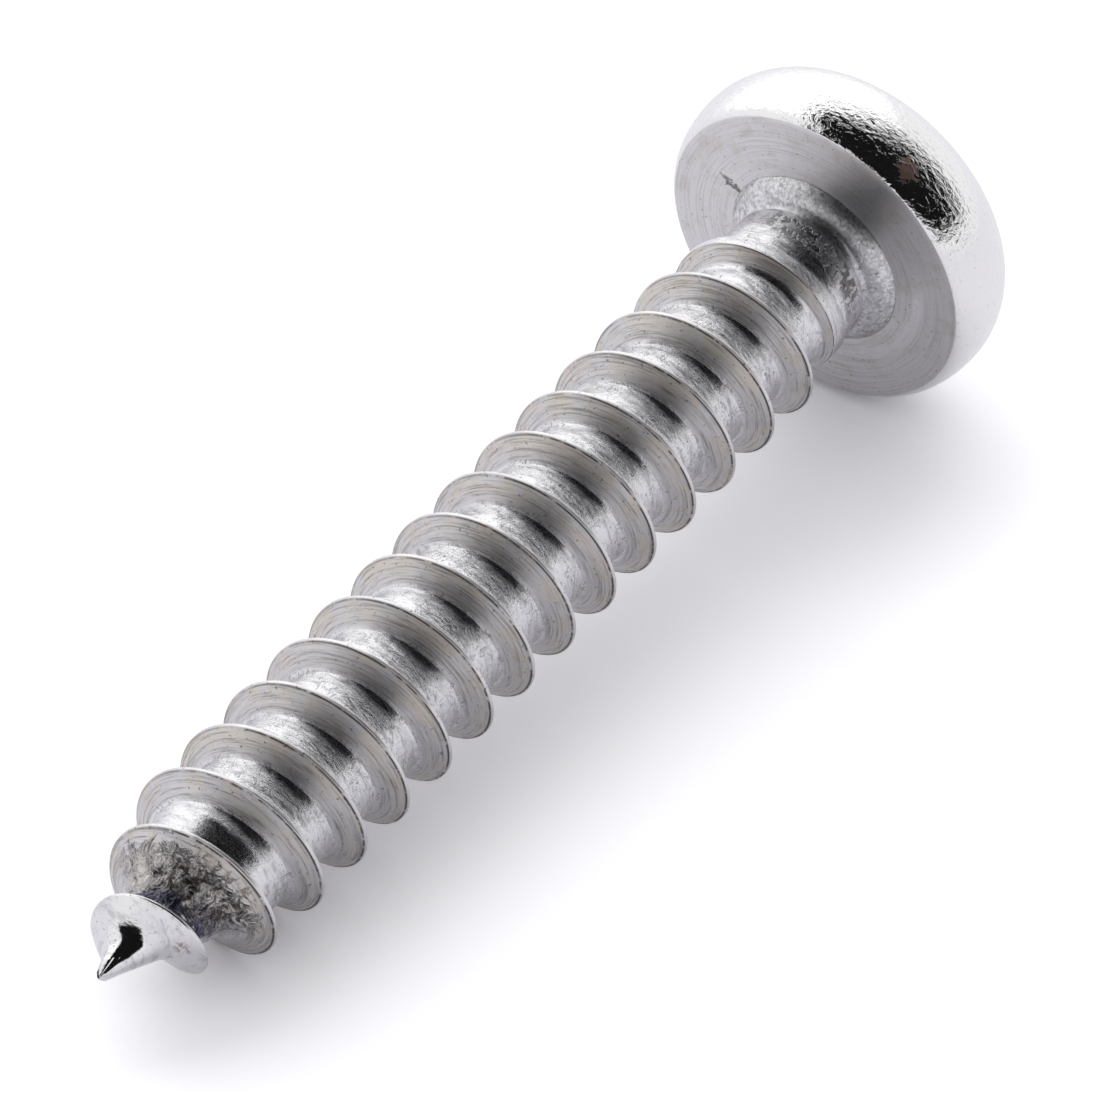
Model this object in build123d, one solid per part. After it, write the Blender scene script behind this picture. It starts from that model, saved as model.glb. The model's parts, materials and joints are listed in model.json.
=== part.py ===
from build123d import *
import os
from math import asin, atan2, cos, floor, pi, radians, sin, sqrt, tan

# Pan head self-tapping screw, ST4.2 x 25: type C gimlet point, cross recess type H No. 2.
# It is one piece of cold-headed and thread-rolled wire, and lies on the floor z = 0 as it
# comes to rest: on the rim of its head and on the last full crest, with its point toward +X.
# It is drawn along its own axis first, in mm from the bearing face toward the point.

# Thread
pitch = 1.4
crestRadius = 2.025
rootRadius = 1.46
flankAngle = 30.0  # each flank from the plane square to the axis
crestHalfWidth = 0.03
phaseAt = 3.22
crestPhase = -32.4  # degrees from straight up, about the axis, of the crest at phaseAt

# Run-out under the head: the ridge rises out of the neck with a flat, unfilled crest
ridgeStart = 1.0
ridgeFull = 2.9

# Gimlet point
length = 24.3  # bearing face to tip
pointStart = 20.75  # the root starts to narrow
tipRadius = 0.08
taperStart = 20.95  # the crest starts to narrow
taperSlope = 0.45
noseSlope = 1.75  # the last quarter turn runs down into the cone
ridgeEnd = 23.62

# Neck: a sloping collar rises from the bearing face, then a groove and a plain band
collarRadius = 2.08
collarTopRadius = 1.65
collarHeight = 0.33
grooveRadius = 1.52
grooveAt = 0.46
neckRadius = 1.63
neckStart = 0.62
neckEnd = 1.1
rootStart = 2.3  # the core reaches its root radius

# Pan head
headRadius = 3.865
bearingRadius = 3.5
rimHeight = 0.99  # bearing face to the widest circle
shoulderRadius = 1.47
crownRadius = 6.5

# Cross recess in the crown
wingSpan = 4.4
wingFoot = 2.3
wingWidth = 1.0
wingFootWidth = 0.75
recessDepth = 2.35
hubRadius = 1.25
hubFoot = 0.8
recessConeDepth = 0.3
recessMargin = 0.05

# How finely the helix is drawn, and how deep the ridge is rooted in the core
stepsPerTurn = 16
rootedDepth = 0.12


def coreRadius(z):
    """Radius of the core, without its thread, at z along the axis."""
    if z < neckEnd:
        return neckRadius
    if z < rootStart:
        return neckRadius + (rootRadius - neckRadius) * (z - neckEnd) / (rootStart - neckEnd)
    if z < pointStart:
        return rootRadius
    return rootRadius + (tipRadius - rootRadius) * (z - pointStart) / (length - pointStart)


def fullRadius(z):
    """Radius that a completely filled crest has at z: it narrows along the gimlet point."""
    return crestRadius - taperSlope * max(0.0, z - taperStart)


def ridgeRadius(z):
    """Radius of the crest as rolled, from the run-out to where it dies in the cone."""
    low = coreRadius(z) - rootedDepth / 2
    if z < ridgeFull:
        rise = (z - ridgeStart) / (ridgeFull - ridgeStart)
        return low + (crestRadius - low) * sin(rise * pi / 2)
    return min(fullRadius(z), low + noseSlope * (ridgeEnd - z))


def helixPoint(z, radius, shift):
    """A point that lies shift along the axis from the thread's centre line at z."""
    angle = radians(crestPhase) + 2 * pi * (z - phaseAt) / pitch
    return Vector(radius * cos(angle), radius * sin(angle), z + shift)


def ridgeSection(z):
    """The thread's profile at z: foot and crest on the head side, crest and foot beyond."""
    foot = coreRadius(z) - rootedDepth
    crest = ridgeRadius(z)
    slope = tan(radians(flankAngle))
    crestWidth = crestHalfWidth + (fullRadius(z) - crest) * slope
    footWidth = crestHalfWidth + (fullRadius(z) - foot) * slope
    return (
        helixPoint(z, foot, -footWidth),
        helixPoint(z, crest, -crestWidth),
        helixPoint(z, crest, crestWidth),
        helixPoint(z, foot, footWidth),
    )


def threadRidge():
    """The helical ridge, of ruled faces a turn long, closed at both ends."""
    turns = int((ridgeEnd - ridgeStart) / pitch) + 1
    turnLength = (ridgeEnd - ridgeStart) / turns
    faces = []
    for turn in range(turns):
        start = ridgeStart + turn * turnLength
        stations = [start + turnLength * i / stepsPerTurn for i in range(stepsPerTurn + 1)]
        rails = [Spline(*points) for points in zip(*(ridgeSection(z) for z in stations))]
        for i in range(len(rails)):
            faces.append(Face.make_surface_from_curves(rails[i].edge(), rails[i - 1].edge()))
    for z in (ridgeStart, ridgeEnd):
        faces.append(Face(Wire.make_polygon(ridgeSection(z), close=True)))
    return Solid(Shell(faces))


def blank():
    """Head, neck and core, turned about the axis from one profile of radius against z."""
    side = headRadius - shoulderRadius
    armLength = crownRadius - shoulderRadius
    crownCentre = sqrt(armLength**2 - side**2) - rimHeight
    crownTop = crownCentre - crownRadius
    crownAngle = asin(side / armLength)
    crown = [
        (crownRadius * sin(a), crownCentre - crownRadius * cos(a)) for a in (0, crownAngle / 2, crownAngle)
    ]
    shoulder = [
        (side + shoulderRadius * sin(a), -rimHeight - shoulderRadius * cos(a))
        for a in (crownAngle, (crownAngle + pi / 2) / 2, pi / 2)
    ]
    rim = EllipticalCenterArc(
        (bearingRadius, -rimHeight), headRadius - bearingRadius, rimHeight, start_angle=0, arc_size=90
    )
    tipArc = [
        (tipRadius * cos(a), length - tipRadius * (1 - sin(a))) for a in (0, pi / 4, pi / 2)
    ]
    outline = Curve() + [
        Line((0, length), (0, crownTop)),
        ThreePointArc(*crown),
        ThreePointArc(*shoulder),
        rim,
        Polyline((bearingRadius, 0), (collarRadius, 0), (collarTopRadius, collarHeight)),
        ThreePointArc(
            (collarTopRadius, collarHeight), (grooveRadius, grooveAt), (neckRadius, neckStart)
        ),
        Polyline(
            (neckRadius, neckStart),
            (neckRadius, neckEnd),
            (rootRadius, rootStart),
            (rootRadius, pointStart),
            tipArc[0],
        ),
        ThreePointArc(*tipArc),
    ]
    return revolve(Plane.XZ * make_face(outline), Axis.Z), crownTop


def crossRecess(crownTop):
    """The driver recess as a solid: two crossed tapering wings round a conical hub."""
    mouth = crownTop - recessMargin
    foot = crownTop + recessDepth
    wing = loft([
        Plane.XY.offset(mouth) * Rectangle(wingSpan, wingWidth),
        Plane.XY.offset(foot) * Rectangle(wingFoot, wingFootWidth),
    ])
    hub = Polyline(
        (0, mouth), (hubRadius, mouth), (hubFoot, foot), (0, foot + recessConeDepth), close=True
    )
    return wing + Rot(0, 0, 90) * wing + revolve(Plane.XZ * make_face(hub), Axis.Z)


def lying(screw):
    """The screw tipped onto its head rim and its last full crest, centred over the origin."""
    firstDown = phaseAt + pitch * (180 - crestPhase) / 360
    lastDown = firstDown + pitch * floor((taperStart - firstDown) / pitch)
    tilt = atan2(headRadius - crestRadius, lastDown + rimHeight)
    pose = Plane(
        origin=(0, 0, 0), x_dir=(sin(tilt), 0, cos(tilt)), z_dir=(cos(tilt), 0, -sin(tilt))
    )
    tipped = pose * screw
    box = tipped.bounding_box()
    return Pos(-box.center().X, -box.center().Y, -box.min.Z) * tipped


turned, crownTop = blank()
screw = turned + threadRidge() - crossRecess(crownTop)
resting = lying(screw)
os.makedirs("parts", exist_ok=True)
export_step(resting, "parts/screw.step")
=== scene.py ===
import json
from math import asin, atan2, cos, degrees, pi, radians, sin, sqrt, tan
import bpy
from mathutils import Matrix, Vector, noise


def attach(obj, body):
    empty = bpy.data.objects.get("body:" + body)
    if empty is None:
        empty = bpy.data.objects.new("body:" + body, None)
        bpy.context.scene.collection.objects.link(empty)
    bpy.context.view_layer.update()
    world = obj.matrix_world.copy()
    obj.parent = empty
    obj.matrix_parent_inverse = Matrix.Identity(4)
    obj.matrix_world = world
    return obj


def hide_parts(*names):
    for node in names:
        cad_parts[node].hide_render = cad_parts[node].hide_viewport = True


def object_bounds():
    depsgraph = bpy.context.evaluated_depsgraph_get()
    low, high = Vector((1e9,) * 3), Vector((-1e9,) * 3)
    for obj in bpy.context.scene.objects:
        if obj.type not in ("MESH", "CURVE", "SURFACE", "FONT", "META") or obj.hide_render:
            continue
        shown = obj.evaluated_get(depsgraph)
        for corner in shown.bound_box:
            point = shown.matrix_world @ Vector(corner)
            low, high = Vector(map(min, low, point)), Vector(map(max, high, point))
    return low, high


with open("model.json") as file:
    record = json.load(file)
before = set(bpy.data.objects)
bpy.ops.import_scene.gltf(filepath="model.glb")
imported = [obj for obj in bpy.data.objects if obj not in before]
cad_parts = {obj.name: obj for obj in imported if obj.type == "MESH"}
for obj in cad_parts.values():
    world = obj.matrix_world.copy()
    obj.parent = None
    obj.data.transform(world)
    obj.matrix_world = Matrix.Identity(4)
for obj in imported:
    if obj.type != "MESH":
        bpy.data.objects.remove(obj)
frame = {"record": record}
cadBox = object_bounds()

mm = 0.001

# Lengths are in mm, and heights run from the bearing face toward the point.
thread = {
    "pitch": 1.4,
    "crestRadius": 2.025,
    "rootRadius": 1.46,
    "flankAngle": 30.0,  # from the plane square to the axis
    "crestHalf": 0.03,
    "phaseAt": 3.22,
    "phase": -32.4,  # degrees about the axis, of the crest at phaseAt
    "ridgeStart": 1.0,
    "ridgeFull": 2.9,
    "rootFillet": 0.05,
    "crestRound": 0.012,
    "stepsPerTurn": 160,
    "rootCuts": 5,
    "flankCuts": 6,
}
point = {
    "length": 24.3,
    "start": 20.75,
    "tipRadius": 0.08,
    "taperStart": 20.95,
    "taperSlope": 0.45,
    "noseSlope": 1.75,
    "ridgeEnd": 23.62,
    "fillet": 0.22,
    "filletFull": 22.6,
    "tipFloor": 0.25,  # how far below the core a ridge that has ended may sink
    "roughDepth": 0.035,
    "roughAlong": (21.62, 21.8, 22.5, 22.8),  # of the roughened turn, along a ridge
    "roughAngles": (-112, -90, 60, 95),  # degrees about the axis
    "roughScale": 3.1,
}
neck = {
    "radius": 1.63,
    "start": 0.62,
    "seam": 0.66,  # height where the head's mesh meets the shank's
    "end": 1.1,
    "rootStart": 2.3,
}
flankSlope = tan(radians(thread["flankAngle"]))
fullFoot = thread["crestHalf"] + (thread["crestRadius"] - thread["rootRadius"]) * flankSlope


def mix(a, b, t):
    return a + (b - a) * t


def ramp(value, low, high):
    return min(1.0, max(0.0, (value - low) / (high - low)))


def plateau(value, rise, top, fall, end):  # 0, then 1 from top to fall, then 0
    return ramp(value, rise, top) * (1 - ramp(value, fall, end))


def smoothMax(a, b, width):
    blend = ramp(0.5 + 0.5 * (a - b) / width, 0.0, 1.0)
    return mix(b, a, blend) + width * blend * (1.0 - blend)


def smoothMin(a, b, width):
    return -smoothMax(-a, -b, width)


def coreRadius(z):
    if z < neck["end"]:
        return neck["radius"]
    if z < neck["rootStart"]:
        return mix(neck["radius"], thread["rootRadius"], ramp(z, neck["end"], neck["rootStart"]))
    return mix(thread["rootRadius"], point["tipRadius"], ramp(z, point["start"], point["length"]))


def filledRadius(z):  # a completely filled crest
    return thread["crestRadius"] - point["taperSlope"] * max(0.0, z - point["taperStart"])


def ridgeRadius(z):  # the crest as rolled
    low = coreRadius(z) - 0.06
    if z < thread["ridgeFull"]:
        rise = max(0.0, (z - thread["ridgeStart"]) / (thread["ridgeFull"] - thread["ridgeStart"]))
        return mix(low, thread["crestRadius"], sin(rise * pi / 2))
    return min(filledRadius(z), low + point["noseSlope"] * (point["ridgeEnd"] - z))


def deselectAll():
    if bpy.context.object and bpy.context.object.mode != "OBJECT":
        bpy.ops.object.mode_set(mode="OBJECT")
    bpy.ops.object.select_all(action="DESELECT")


def drawProfile(name, points):  # a chain of vertices in the XZ plane, from (radius, height) pairs
    places = [Vector((radius * mm, 0.0, height * mm)) for radius, height in points]
    deselectAll()
    bpy.ops.mesh.primitive_plane_add(size=mm)
    piece = bpy.context.object
    piece.name = name
    bpy.ops.object.mode_set(mode="EDIT")
    bpy.ops.mesh.merge(type="CENTER")
    bpy.ops.transform.translate(value=places[0])
    for here, there in zip(places, places[1:]):
        bpy.ops.mesh.extrude_vertices_move(TRANSFORM_OT_translate={"value": there - here})
    bpy.ops.object.mode_set(mode="OBJECT")
    return piece


def applyModifier(piece, kind, **settings):
    deselectAll()
    piece.select_set(True)
    bpy.context.view_layer.objects.active = piece
    modifier = piece.modifiers.new(kind.title(), kind)
    for name, value in settings.items():
        setattr(modifier, name, value)
    bpy.ops.object.modifier_apply(modifier=modifier.name)


def mergeDoubles(piece, distance=0.0002):
    deselectAll()
    piece.select_set(True)
    bpy.context.view_layer.objects.active = piece
    bpy.ops.object.mode_set(mode="EDIT")
    bpy.ops.mesh.select_all(action="SELECT")
    bpy.ops.mesh.remove_doubles(threshold=distance * mm)
    bpy.ops.mesh.dissolve_degenerate(threshold=distance * mm)
    bpy.ops.mesh.normals_make_consistent(inside=False)
    bpy.ops.object.mode_set(mode="OBJECT")


def threadProfile():  # one pitch, from the middle of one root to the middle of the next
    half = thread["pitch"] / 2
    corners = [(thread["rootRadius"], half), (thread["rootRadius"], fullFoot)]
    corners += [(thread["crestRadius"], thread["crestHalf"]), (thread["crestRadius"], 0.0)]
    cuts = [thread["rootCuts"], thread["flankCuts"], 1]
    side = [corners[0]]
    for here, there, count in zip(corners, corners[1:], cuts):
        for i in range(1, count + 1):
            side.append((mix(here[0], there[0], i / count), mix(here[1], there[1], i / count)))
    headSide = [(radius, -height) for radius, height in side]
    return headSide + side[-2::-1]


def buildShank():
    pitch = thread["pitch"]
    atZeroAngle = thread["phaseAt"] - pitch * thread["phase"] / 360
    first = atZeroAngle - pitch * int((atZeroAngle + pitch) / pitch)
    turns = int((point["length"] - first) / pitch) + 2
    shank = drawProfile("shank", [(radius, height + first) for radius, height in threadProfile()])
    steps = thread["stepsPerTurn"]
    applyModifier(
        shank, "SCREW", axis="Z", screw_offset=pitch * mm, steps=steps, render_steps=steps,
        iterations=turns, use_merge_vertices=False,
    )
    mergeDoubles(shank)
    half = pitch / 2
    ridgePlace = shank.data.attributes.new("ridgePlace", "FLOAT_VECTOR", "POINT")
    for vertex in shank.data.vertices:
        x, y, z = vertex.co / mm
        angle = atan2(y, x)
        shift = (z - first - pitch * angle / (2 * pi) + half) % pitch - half
        if half - abs(shift) < 0.001:
            shift = half
        centre = z - shift
        side = -1.0 if shift < 0 else 1.0
        crest = max(ridgeRadius(centre), coreRadius(centre) - point["tipFloor"])
        crestWide = thread["crestHalf"] + max(0.0, filledRadius(centre) - crest) * flankSlope
        footWide = thread["crestHalf"] + (filledRadius(centre) - coreRadius(centre)) * flankSlope
        footWide = min(half * 0.9, max(footWide, crestWide * 1.05))
        crestWide = min(crestWide, footWide * 0.95)
        fillet = thread["rootFillet"]
        if side > 0:  # toward the point the flank runs out into the core in a wide curve
            fillet = mix(fillet, point["fillet"], ramp(centre, point["start"], point["filletFull"]))
        reach = abs(shift)
        if reach > fullFoot:
            wide = mix(footWide, half, ramp(reach, fullFoot, half))
        elif reach > thread["crestHalf"]:
            wide = mix(crestWide, footWide, ramp(reach, thread["crestHalf"], fullFoot))
        else:
            wide = crestWide * reach / thread["crestHalf"]
        height = centre + side * wide
        core = coreRadius(height)
        flank = crest + (crestWide - wide) / flankSlope
        ridge = smoothMin(crest, flank, thread["crestRound"])
        radius = smoothMax(core, ridge, fillet)
        if height > point["length"] - point["tipRadius"]:
            inner = min(point["tipRadius"], height - point["length"] + point["tipRadius"])
            radius = sqrt(max(0.0, point["tipRadius"] ** 2 - inner**2))
        height = min(point["length"], max(neck["seam"], height))
        along = height - pitch * degrees(angle) / 360  # the same all along a ridge
        rough = plateau(along, *point["roughAlong"]) * plateau(degrees(angle), *point["roughAngles"])
        lumps = noise.fractal(Vector((x, y, z)) * point["roughScale"], 1.0, 2.0, 3)
        radius += rough * point["roughDepth"] * lumps
        rise = ramp(radius, core, max(crest, core + 0.02))
        tipSide = 0.5 if reach > half - 0.001 else max(side, 0.0)
        ridgePlace.data[vertex.index].vector = (rise, tipSide, ramp(crest - core, 0.05, 0.2))
        vertex.co = Vector((radius * cos(angle), radius * sin(angle), height)) * mm
    mergeDoubles(shank)
    return shank


head = {
    "radius": 3.865,
    "bearingRadius": 3.5,
    "rimHeight": 0.99,  # bearing face to the widest circle
    "shoulderRadius": 1.47,
    "crownRadius": 6.5,
    "collarRadius": 2.08,
    "collarTopRadius": 1.65,
    "collarHeight": 0.33,
    "grooveRadius": 1.52,
    "grooveAt": 0.46,
}


def arc(centre, radii, start, end, count):  # (radius, height) pairs, angles from straight out
    angles = [mix(start, end, i / count) for i in range(count + 1)]
    return [(centre[0] + radii[0] * cos(a), centre[1] + radii[1] * sin(a)) for a in angles]


def crownPlace():  # height of the crown's centre, and the angle where the shoulder meets it
    side = head["radius"] - head["shoulderRadius"]
    arm = head["crownRadius"] - head["shoulderRadius"]
    return sqrt(arm**2 - side**2) - head["rimHeight"], asin(side / arm) - pi / 2


def buildHead():
    side = head["radius"] - head["shoulderRadius"]
    crownCentre, crownAngle = crownPlace()
    crown = arc((0.0, crownCentre), (head["crownRadius"],) * 2, -pi / 2, crownAngle, 26)
    shoulder = arc((side, -head["rimHeight"]), (head["shoulderRadius"],) * 2, crownAngle, 0.0, 16)
    rimRadii = (head["radius"] - head["bearingRadius"], head["rimHeight"])
    rim = arc((head["bearingRadius"], -head["rimHeight"]), rimRadii, 0.0, pi / 2, 12)
    ring = [(mix(head["bearingRadius"], head["collarRadius"], i / 10), 0.0) for i in range(1, 11)]
    collar = []
    for i in range(1, 11):  # a slope that swells a little between its two edges
        t = i / 10
        swell = 0.035 * sin(pi * t)
        collar.append((
            mix(head["collarRadius"], head["collarTopRadius"], t) + swell,
            mix(0.0, head["collarHeight"], t) + swell,
        ))
    grooveHigh = (neck["start"] - head["grooveAt"], neck["radius"] - head["grooveRadius"])
    grooveLow = (head["grooveAt"] - head["collarHeight"], head["collarTopRadius"] - head["grooveRadius"])
    throat = [
        (head["grooveRadius"] + grooveLow[1] * (1 - sin(t)), head["grooveAt"] - grooveLow[0] * cos(t))
        for t in (pi / 8, pi / 4, pi * 3 / 8, pi / 2)
    ]
    throat += [
        (head["grooveRadius"] + grooveHigh[1] * sin(t), head["grooveAt"] + grooveHigh[0] * (1 - cos(t)))
        for t in (pi / 8, pi / 4, pi * 3 / 8, pi / 2)
    ]
    throat.append((neck["radius"], neck["seam"]))
    profile = crown + shoulder[1:] + rim[1:] + ring + collar + throat
    piece = drawProfile("head", profile)
    bpy.ops.object.mode_set(mode="EDIT")
    bpy.ops.mesh.select_all(action="SELECT")
    bpy.ops.mesh.spin(steps=thread["stepsPerTurn"], angle=2 * pi, center=(0, 0, 0), axis=(0, 0, 1))
    bpy.ops.object.mode_set(mode="OBJECT")
    mergeDoubles(piece)
    return piece, crownCentre - head["crownRadius"]


recess = {
    "wingSpan": 4.4,
    "wingFoot": 2.3,
    "wingWidth": 1.0,
    "wingFootWidth": 0.75,
    "depth": 2.35,
    "hubRadius": 1.25,
    "hubFoot": 0.8,
    "coneDepth": 0.3,
}


def cutRecess(piece, crownTop):
    top = crownTop - 0.2
    foot = crownTop + recess["depth"]
    tools = []
    for quarter in range(2):
        deselectAll()
        bpy.ops.mesh.primitive_cube_add(size=mm, location=(0, 0, (top + foot) / 2 * mm))
        wing = bpy.context.object
        for vertex in wing.data.vertices:
            low = vertex.co.z > 0
            span = recess["wingFoot"] if low else recess["wingSpan"]
            width = recess["wingFootWidth"] if low else recess["wingWidth"]
            vertex.co = Vector((
                vertex.co.x * span, vertex.co.y * width, vertex.co.z * (foot - top)
            ))
        wing.rotation_euler.z = quarter * pi / 2
        tools.append(wing)
    deselectAll()
    bpy.ops.mesh.primitive_cone_add(
        vertices=64, radius1=recess["hubRadius"] * mm, radius2=recess["hubFoot"] * mm,
        depth=(foot - top) * mm, location=(0, 0, (top + foot) / 2 * mm),
    )
    tools.append(bpy.context.object)
    bpy.ops.mesh.primitive_cone_add(
        vertices=64, radius1=recess["hubFoot"] * mm, radius2=0, depth=recess["coneDepth"] * mm,
        location=(0, 0, (foot + recess["coneDepth"] / 2 - 0.001) * mm),
    )
    tools.append(bpy.context.object)
    for tool in tools:
        deselectAll()
        tool.select_set(True)
        bpy.context.view_layer.objects.active = tool
        bpy.ops.object.transform_apply(location=True, rotation=True, scale=True)
    for tool in tools:
        applyModifier(piece, "BOOLEAN", object=tool, operation="DIFFERENCE", solver="EXACT")
        bpy.data.objects.remove(tool)


def layDown(piece):  # from the screw's own axis to where the frame's screw lies
    mounts = {mount["name"]: mount for mount in frame["record"]["mounts"]}
    along = Vector(mounts["thread"]["axis"]).normalized()
    middle = (thread["ridgeFull"] + point["taperStart"]) / 2
    origin = Vector(mounts["thread"]["pos_m"]) - along * middle * mm
    upward = (Vector((0, 0, 1)) - along * along.z).normalized()
    across = along.cross(upward)
    pose = Matrix((upward, across, along)).transposed().to_4x4()
    pose.translation = origin
    piece.data.transform(pose)


def keepInside(piece, box):  # a rounding error never stands outside the frame's own box
    low, high = box
    for vertex in piece.data.vertices:
        vertex.co = Vector([min(high[i], max(low[i], vertex.co[i])) for i in range(3)])


def buildScrew():
    shank = buildShank()
    headPiece, crownTop = buildHead()
    cutRecess(headPiece, crownTop)
    deselectAll()
    headPiece.select_set(True)
    shank.select_set(True)
    bpy.context.view_layer.objects.active = shank
    bpy.ops.object.join()
    shank.name = "panHeadScrew"
    mergeDoubles(shank)
    axisPlace = shank.data.attributes.new("axisPlace", "FLOAT_VECTOR", "POINT")
    for vertex in shank.data.vertices:
        axisPlace.data[vertex.index].vector = vertex.co / mm
    layDown(shank)
    keepInside(shank, cadBox)
    deselectAll()
    shank.select_set(True)
    bpy.context.view_layer.objects.active = shank
    bpy.ops.object.shade_smooth_by_angle(angle=radians(40))
    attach(shank, "root")
    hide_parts("screw")
    print("screw modelled:", len(shank.data.polygons), "faces")
    return shank


class Wire:  # a socket that Python's arithmetic joins to further Math nodes
    def __init__(self, tree, socket):
        self.tree = tree
        self.socket = socket

    def math(self, operation, *others):
        node = self.tree.nodes.new("ShaderNodeMath")
        node.operation = operation
        for place, value in zip(node.inputs, (self,) + others):
            join(self.tree, value, place)
        return Wire(self.tree, node.outputs[0])

    def __add__(self, other):
        return self.math("ADD", other)

    def __radd__(self, other):
        return self.math("ADD", other)

    def __mul__(self, other):
        return self.math("MULTIPLY", other)

    def __rmul__(self, other):
        return self.math("MULTIPLY", other)

    def __sub__(self, other):
        return self.math("SUBTRACT", other)

    def __rsub__(self, other):
        return self.math("MULTIPLY", -1.0).math("ADD", other)

    def __truediv__(self, other):
        return self.math("DIVIDE", other)

    def __pow__(self, other):
        return self.math("POWER", other)


def join(tree, value, place):
    if isinstance(value, Wire):
        tree.links.new(value.socket, place)
    else:
        place.default_value = value


class Shading:  # the node tree of a material or a world
    def __init__(self, owner):
        self.owner = owner
        owner.use_nodes = True
        self.tree = owner.node_tree
        self.shader = self.tree.nodes.get("Principled BSDF")

    def node(self, kind, settings=None, output=0, **values):
        node = self.tree.nodes.new("ShaderNode" + kind)
        for name, value in (settings or {}).items():
            setattr(node, name, value)
        for name, value in values.items():
            join(self.tree, value, node.inputs[int(name[1:]) if name[0] == "_" else name])
        return Wire(self.tree, node.outputs[output])

    def noise(self, vector, scale, detail=3.0, roughness=0.55, distortion=0.0):
        return self.node(
            "TexNoise", None, "Fac", Vector=vector, Scale=scale, Detail=detail,
            Roughness=roughness, Distortion=distortion,
        )

    def band(self, value, low, high):  # 0 at low, 1 at high, smooth between
        settings = {"interpolation_type": "SMOOTHSTEP"}
        return self.node("MapRange", settings, "Result", _0=value, _1=low, _2=high)

    def plateau(self, value, rise, top, fall, end):  # 0, then 1 from top to fall, then 0
        return self.band(value, rise, top) * (1.0 - self.band(value, fall, end))

    def line(self, value, core, edge):  # 1 within core of zero, 0 beyond edge
        return 1.0 - self.band(value.math("ABSOLUTE"), core, edge)

    def blend(self, factor, first, second):
        settings = {"data_type": "RGBA", "clamp_factor": True}
        return self.node("Mix", settings, 2, _0=factor, _6=first, _7=second)

    def number(self, factor, first, second):
        settings = {"data_type": "FLOAT", "clamp_factor": True}
        return self.node("Mix", settings, 0, _0=factor, _2=first, _3=second)

    def combine(self, x, y, z):
        return self.node("CombineXYZ", None, 0, X=x, Y=y, Z=z)

    def split(self, vector):
        parts = self.node("SeparateXYZ", None, 0, Vector=vector).socket.node
        return [Wire(self.tree, socket) for socket in parts.outputs]

    def bump(self, height, distance):
        return self.node("Bump", None, 0, Height=height, Distance=distance, Strength=1.0)

    def finish(self, **values):
        for name, value in values.items():
            join(self.tree, value, self.shader.inputs[name.replace("_", " ")])
        return self.owner


finish = {
    "root": (0.78, 0.775, 0.80, 1),
    "rootShade": (0.42, 0.415, 0.43, 1),
    "bright": (0.80, 0.795, 0.81, 1),
    "flank": (0.67, 0.66, 0.675, 1),
    "flankWarm": (0.68, 0.635, 0.59, 1),
    "flankLine": (0.17, 0.16, 0.155, 1),
    "seat": (0.68, 0.672, 0.685, 1),
    "seatWarm": (0.62, 0.585, 0.56, 1),
    "rim": (0.84, 0.835, 0.84, 1),
    # painted shade: a much darker colour for the inside of the cross recess
    "recess": (0.36, 0.355, 0.36, 1),
    "dirt": (0.05, 0.045, 0.042, 1),
    "stain": (0.10, 0.105, 0.16, 1),
    "crustDark": (0.085, 0.072, 0.065, 1),
    "crustLight": (0.62, 0.58, 0.55, 1),
    "rust": (0.26, 0.13, 0.09, 1),
    "rootRoughness": 0.25,
    "flankRoughness": 0.33,
    "seatRoughness": 0.38,
    "collarRoughness": 0.34,
    "rimRoughness": 0.07,
    "pointRoughness": 0.1,
    "crustRoughness": 0.36,
    "rustRoughness": 0.5,
}
# Where the marks lie. Heights and radii are in mm, angles in degrees about the axis, and
# "along" is a height taken back round the thread to angle 0, so that it follows a ridge.
marks = {
    "noseAlong": (22.95, 23.1),
    "crustAlong": (21.7, 21.88, 22.45, 22.75),
    "crustAngles": (-112.0, -88.0, 45.0, 85.0),
    "crustPale": (-5.0, 25.0),  # paler beyond this angle
    "stainAlong": (22.2, 22.5, 22.86, 22.92),
    "rollHeights": (0.6, 0.7, 1.0, 1.25),
    "rollAngles": (-100.0, -70.0, 5.0, 30.0),
    "scratchRadii": (1.95, 2.1, 2.45, 2.75),
    "scratchAngle": 62.5,
    "streakRadius": 2.55,
    "streakAngles": (-165.0, -140.0, -95.0, -75.0),
    "scarAlong": (23.08, 23.14, 23.2, 23.28),
    "scarAngles": (-98.0, -90.0, -78.0, -70.0),
    "rustHeight": -0.45,
    "rustAngle": -34.0,
    "seamAngles": (-10.0, 35.0),  # fainter beyond this angle
}
relief = {  # heights in mm
    "circles": 0.011,
    "fineCircles": 0.003,
    "rolled": 0.02,
    "rollMarks": 0.012,
    "rimPeel": 0.016,
    "peel": 0.004,
    "crustCurl": 0.13,
    "crustPeel": 0.04,
    "scratch": 0.02,
}


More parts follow.
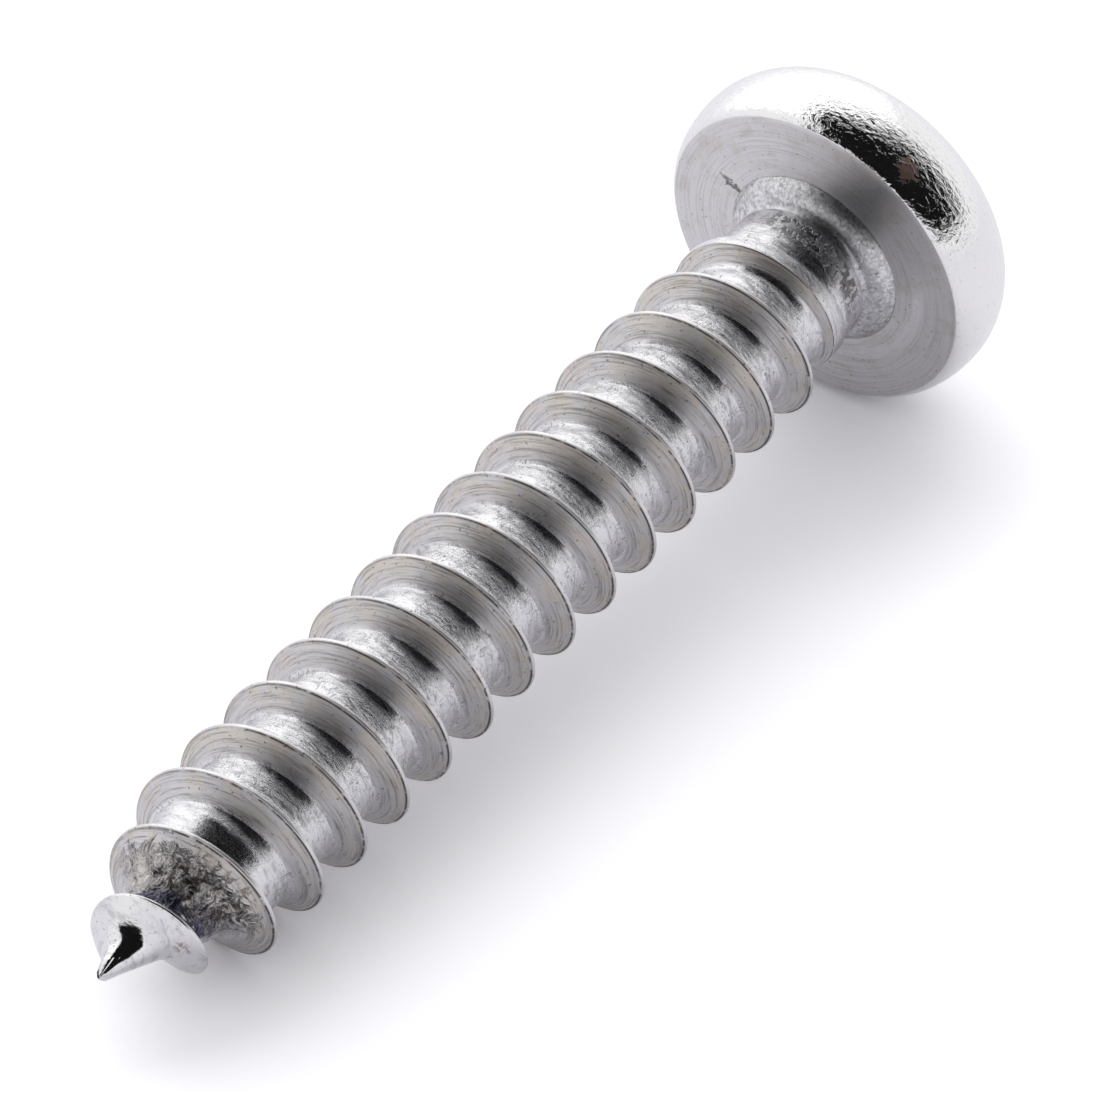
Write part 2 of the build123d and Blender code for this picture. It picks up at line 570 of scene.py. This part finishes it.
def brightSteel():
    s = Shading(bpy.data.materials.new("brightSteel"))
    place = s.node("Attribute", {"attribute_name": "axisPlace"}, "Vector")
    x, y, z = s.split(place)
    radius = (x * x + y * y) ** 0.5
    angle = y.math("ARCTAN2", x) * (180 / pi)
    along = z - angle * (thread["pitch"] / 360)
    rise, tipSide, grown = s.split(s.node("Attribute", {"attribute_name": "ridgePlace"}, "Vector"))

    # patterns: circles round the axis, grain of the rolled metal, and blotches
    unitX = x / (radius + 0.01)
    unitY = y / (radius + 0.01)
    circles = s.noise(s.combine(unitX * 0.5, unitY * 0.5, radius * 9.0 + z * 1.2), 3.0, 4.0, 0.7)
    fineCircles = s.noise(s.combine(unitX * 1.2, unitY * 1.2, radius * 26.0 + z * 3.0), 4.0, 3.0, 0.6)
    rolled = s.noise(s.combine(x * 1.3, y * 1.3, z * 4.5), 1.7, 5.0, 0.68, 0.4)
    blotch = s.noise(place, 1.7, 2.0, 0.6)
    speck = s.noise(place, 11.0, 3.0, 0.6)
    peel = s.noise(s.combine(x, y, z * 1.9), 5.2, 3.0, 0.6, 0.7)
    curl = s.noise(place, 3.1, 3.0, 0.62, 1.5)
    ticks = s.noise(s.combine(unitX * 3.4, unitY * 3.4, z * 1.3), 3.0, 3.0, 0.7)
    breaks = s.noise(s.combine(unitX, unitY, z * 0.4), 4.0, 3.0, 0.75)

    # where each finish lies
    onShank = s.band(z, 1.0, 1.3)
    land = s.band(rise, 0.975, 0.995) * (1.0 - s.band(z, 2.3, 2.8))
    flank = s.band(rise, 0.06, 0.2) * grown * onShank * (1.0 - land)
    headSide = 1.0 - s.band(z, -0.03, -0.005)
    beyondHead = 1.0 - headSide
    seat = beyondHead * (1.0 - s.band(z, 0.0, 0.02)) * s.band(radius, 1.9, 2.1)
    collar = beyondHead * (1.0 - s.band(z, 0.42, 0.6)) * (1.0 - s.band(radius, 2.06, 2.1))
    nose = s.band(along + tipSide * 0.2, *marks["noseAlong"])
    fromCentre = (x * x + y * y + (z - crownPlace()[0]) ** 2.0) ** 0.5
    crown = head["crownRadius"]
    # the cross recess, which takes painted shade in its colour and a satin roughness
    inRecess = (1.0 - s.band(fromCentre, crown - 0.12, crown - 0.03)) * headSide
    inRecess = inRecess * (1.0 - s.band(radius, 2.22, 2.3))

    # where each mark lies
    low, lowFull, highFull, high = marks["crustAngles"]
    wander = along + (curl - 0.5) * 0.7
    crustEnds = s.band(angle + (blotch - 0.5) * 60.0, low, lowFull) * (1.0 - s.band(angle, highFull, high))
    crust = s.plateau(wander, *marks["crustAlong"]) * crustEnds
    rise1, rise2, fall1, fall2 = marks["stainAlong"]
    stain = s.band(wander, rise1, rise2) * (1.0 - s.band(along, fall1, fall2)) * crustEnds
    rollMarks = s.plateau(z, *marks["rollHeights"]) * s.plateau(angle, *marks["rollAngles"])
    rollMarks = rollMarks * s.band(ticks, 0.47, 0.56)
    scratch = s.line(angle - marks["scratchAngle"] + (curl - 0.5) * 14.0, 0.4, 2.4)
    scratch = scratch * s.plateau(radius, *marks["scratchRadii"])
    streak = s.line(radius - marks["streakRadius"] - (angle + 115.0) * 0.003, 0.05, 0.2)
    streak = streak * s.plateau(angle, *marks["streakAngles"]) * seat
    cracks = s.line(curl - 0.5, 0.0, 0.035) * s.band(blotch, 0.42, 0.58)
    seam = s.plateau(rise, 0.88, 0.93, 0.955, 0.975) * s.band(tipSide, 0.5, 0.9) * onShank * grown
    seam = seam * s.band(breaks, 0.36, 0.5) * (1.0 - s.band(angle, *marks["seamAngles"]) * 0.6)
    scar = s.plateau(along, *marks["scarAlong"]) * s.plateau(angle, *marks["scarAngles"])
    scar = scar * s.band(peel, 0.45, 0.53)
    rustAway = ((angle - marks["rustAngle"]) * 0.066) ** 2.0 + (z - marks["rustHeight"]) ** 2.0
    rust = (1.0 - s.band(rustAway + (peel - 0.5) * 0.3, 0.03, 0.08)) * headSide
    specks = s.band(speck, 0.635, 0.69) * (1.0 - headSide * 0.7)

    # colour
    warm = s.band(blotch, 0.35, 0.6) * s.band(rise, 0.15, 0.7)
    flankColour = s.blend(warm, finish["flank"], finish["flankWarm"])
    flankColour = s.blend(s.band(circles, 0.48, 0.66) * 0.6, flankColour, finish["flankLine"])
    flankColour = s.blend(s.band(fineCircles, 0.52, 0.72) * 0.35, flankColour, finish["flankLine"])
    rootColour = s.blend(s.band(rolled, 0.5, 0.68) * 0.75, finish["root"], finish["rootShade"])
    rootColour = s.blend(cracks * 0.6, rootColour, finish["flankLine"])
    colour = s.blend(flank, rootColour, flankColour)
    colour = s.blend(s.band(rise, 0.95, 0.98) * onShank * 0.7, colour, finish["root"])
    colour = s.blend(headSide, colour, finish["rim"])
    # painted shade: the cross recess darkened
    colour = s.blend(inRecess, colour, finish["recess"])
    seatColour = s.blend(s.band(blotch, 0.5, 0.68) * 0.7, finish["seat"], finish["seatWarm"])
    seatColour = s.blend(s.band(circles, 0.45, 0.7) * 0.3, seatColour, finish["flankLine"])
    seatColour = s.blend(scratch * 0.75, seatColour, finish["dirt"])
    seatColour = s.blend(streak * 0.5, seatColour, finish["root"])
    colour = s.blend(seat, colour, seatColour)
    colour = s.blend(collar * s.band(speck, 0.42, 0.58) * 0.65, colour, finish["rootShade"])
    colour = s.blend(rollMarks * 0.85, colour, finish["flankLine"])
    colour = s.blend(seam * (1.0 - nose) * 0.9, colour, finish["dirt"])
    noseShade = s.band(rolled, 0.48, 0.66) * 0.55
    colour = s.blend(nose, colour, s.blend(noseShade, finish["bright"], finish["rootShade"]))
    pale = s.band(angle + (blotch - 0.5) * 90.0, *marks["crustPale"]) * 0.12
    lumps = s.band(curl, 0.48 - pale, 0.6 - pale)
    crustColour = s.blend(lumps, finish["crustDark"], finish["crustLight"])
    colour = s.blend(crust * (0.55 + 0.45 * s.band(peel, 0.4, 0.55)), colour, crustColour)
    colour = s.blend(stain * s.band(rolled, 0.36, 0.5) * 0.9, colour, finish["stain"])
    colour = s.blend(scar * 0.7, colour, finish["rust"])
    colour = s.blend(rust * 0.85, colour, finish["rust"])
    colour = s.blend(specks * 0.6, colour, finish["dirt"])

    # roughness
    rootRoughness = finish["rootRoughness"] + (rolled - 0.5) * 0.35
    flankRoughness = finish["flankRoughness"] + (circles - 0.5) * 0.25
    seatRoughness = finish["seatRoughness"] + (blotch - 0.5) * 0.2 - streak * 0.15
    rimRoughness = finish["rimRoughness"] + s.band(speck, 0.6, 0.8) * 0.2
    rough = s.number(flank, rootRoughness, flankRoughness)
    for where, value in (
        (seat, seatRoughness), (collar, finish["collarRoughness"]), (headSide, rimRoughness),
        (inRecess, finish["seatRoughness"]), (nose, finish["pointRoughness"]),
        (crust, finish["crustRoughness"]), (rust, finish["rustRoughness"]),
    ):
        rough = s.number(where, rough, value)

    # relief
    plain = (1.0 - flank) * beyondHead * (1.0 - seat)
    rings = circles * relief["circles"] + fineCircles * relief["fineCircles"]
    height = flank * (1.0 - nose * 0.8) * rings
    height = height + rolled * plain * (1.0 - nose * 0.7) * relief["rolled"]
    height = height - rollMarks * relief["rollMarks"]
    height = height + peel * (headSide * relief["rimPeel"] + relief["peel"])
    height = height + crust * (curl * relief["crustCurl"] + peel * relief["crustPeel"])
    height = height - scratch * seat * relief["scratch"]
    return s.finish(Base_Color=colour, Metallic=1.0, Roughness=rough, Normal=s.bump(height, mm))


screw = buildScrew()
screw.data.materials.clear()
screw.data.materials.append(brightSteel())
print("screw finished")

studio = {
    "azimuth": 35.99,  # of the camera, round from the point's end
    "elevation": 40.97,
    "distance": 161.72,  # mm, as is the aim
    "lens": 262.6,
    "aim": (-0.537, 0.422, 3.0),
    "lampDistance": 0.5,  # metres, as is the floor's size
    "floorSize": 0.6,
    "floor": (0.91, 0.905, 0.94, 1),
    "floorGlow": 0.56,  # brings the paper up to white, except in the screw's shadow
    "contact": 6,  # mm, how near something darkens the paper
    "floorInMetal": 0.4,
    "surround": (0.35, 0.345, 0.365, 1),
    "background": (1.0, 1.0, 1.0, 1),
    # colour of the black sheet: painted shade of the unlit room, seen only in the metal
    "shadeSheet": (0.012, 0.012, 0.012, 1),
}


def outward(azimuth, elevation):
    a, e = radians(azimuth), radians(elevation)
    return Vector((cos(e) * cos(a), cos(e) * sin(a), sin(e)))


def buildCamera():
    back = outward(studio["azimuth"], studio["elevation"])
    data = bpy.data.cameras.new("camera")
    camera = bpy.data.objects.new("camera", data)
    bpy.context.scene.collection.objects.link(camera)
    data.lens = studio["lens"]
    data.clip_start = 0.01
    data.clip_end = 20
    camera.location = (Vector(studio["aim"]) + back * studio["distance"]) * mm
    camera.rotation_euler = back.to_track_quat("Z", "Y").to_euler()
    bpy.context.scene.camera = camera


def softbox(name, azimuth, elevation, distance, size, brightness, inMetal):  # inMetal: it's mirrored
    data = bpy.data.lights.new(name, "AREA")
    data.shape = "RECTANGLE"
    data.size, data.size_y = size
    data.energy = brightness * size[0] * size[1] * pi
    lamp = bpy.data.objects.new(name, data)
    bpy.context.scene.collection.objects.link(lamp)
    out = outward(azimuth, elevation)
    lamp.location = out * distance
    lamp.rotation_euler = out.to_track_quat("Z", "Y").to_euler()
    lamp.visible_glossy = inMetal


def roomShadeSheet(name, middle, distance, edge):  # a black sheet standing in for the unlit room: painted shade, seen only in the metal as a dark reflection
    mesh = bpy.data.meshes.new(name)
    places = [outward(*direction) * distance for direction in [middle] + edge]
    last = len(edge)
    mesh.from_pydata(places, [], [(0, i, i % last + 1) for i in range(1, last + 1)])
    shadeSheet = bpy.data.objects.new(name, mesh)
    bpy.context.scene.collection.objects.link(shadeSheet)
    s = Shading(bpy.data.materials.new(name))
    mesh.materials.append(s.finish(Base_Color=studio["shadeSheet"], Roughness=1.0, Specular_IOR_Level=0.0))
    shadeSheet.visible_camera = False
    shadeSheet.visible_diffuse = False
    shadeSheet.visible_shadow = False


def buildFloor():
    deselectAll()
    bpy.ops.mesh.primitive_circle_add(vertices=96, radius=studio["floorSize"], fill_type="NGON")
    floor = bpy.context.object
    floor.name = "floor"
    s = Shading(bpy.data.materials.new("paper"))
    floor.data.materials.append(s.finish(Base_Color=studio["floor"], Roughness=1.0))
    openness = s.node("AmbientOcclusion", {"samples": 4}, "AO", Distance=studio["contact"] * mm)
    mirrored = s.node("LightPath", None, "Is Glossy Ray") * studio["floorInMetal"]
    through = s.node("LightPath", None, "Is Transmission Ray")
    seen = s.node("LightPath", None, "Is Camera Ray").math("MAXIMUM", through) + mirrored
    strength = seen * openness * studio["floorGlow"]
    glow = s.node("Emission", None, 0, Color=studio["background"], Strength=strength)
    total = s.node("AddShader", None, 0, _0=Wire(s.tree, s.shader.outputs[0]), _1=glow)
    join(s.tree, total, s.tree.nodes["Material Output"].inputs["Surface"])


def buildWorld():
    world = bpy.data.worlds.new("studio")
    bpy.context.scene.world = world
    s = Shading(world)
    mirrored = s.node("LightPath", None, "Is Glossy Ray")
    through = s.node("LightPath", None, "Is Transmission Ray")
    seen = s.node("LightPath", None, "Is Camera Ray").math("MAXIMUM", mirrored).math("MAXIMUM", through)
    colour = s.blend(seen, studio["surround"], studio["background"])
    join(s.tree, colour, s.tree.nodes["Background"].inputs["Color"])


buildCamera()
buildFloor()
buildWorld()
softbox("keySoftbox", 232, 38, studio["lampDistance"], (0.78, 0.6), 1.3, False)
softbox("keyGleam", 232, 38, studio["lampDistance"] - 0.01, (0.78, 0.6), 0.42, True)
# painted shade: a black sheet where the unlit room lies, mirrored in the metal
roomShadeSheet("roomShade", (60, 66), 0.45, [
    (-28, 14), (15, 4), (44, 8), (72, 12), (100, 12), (122, 12), (131, 27), (144, 46), (164, 61),
    (-170, 68), (-125, 63), (-85, 59), (-52, 60), (-28, 40),
])
bpy.context.scene.view_settings.view_transform = "Standard"
print("studio lit")
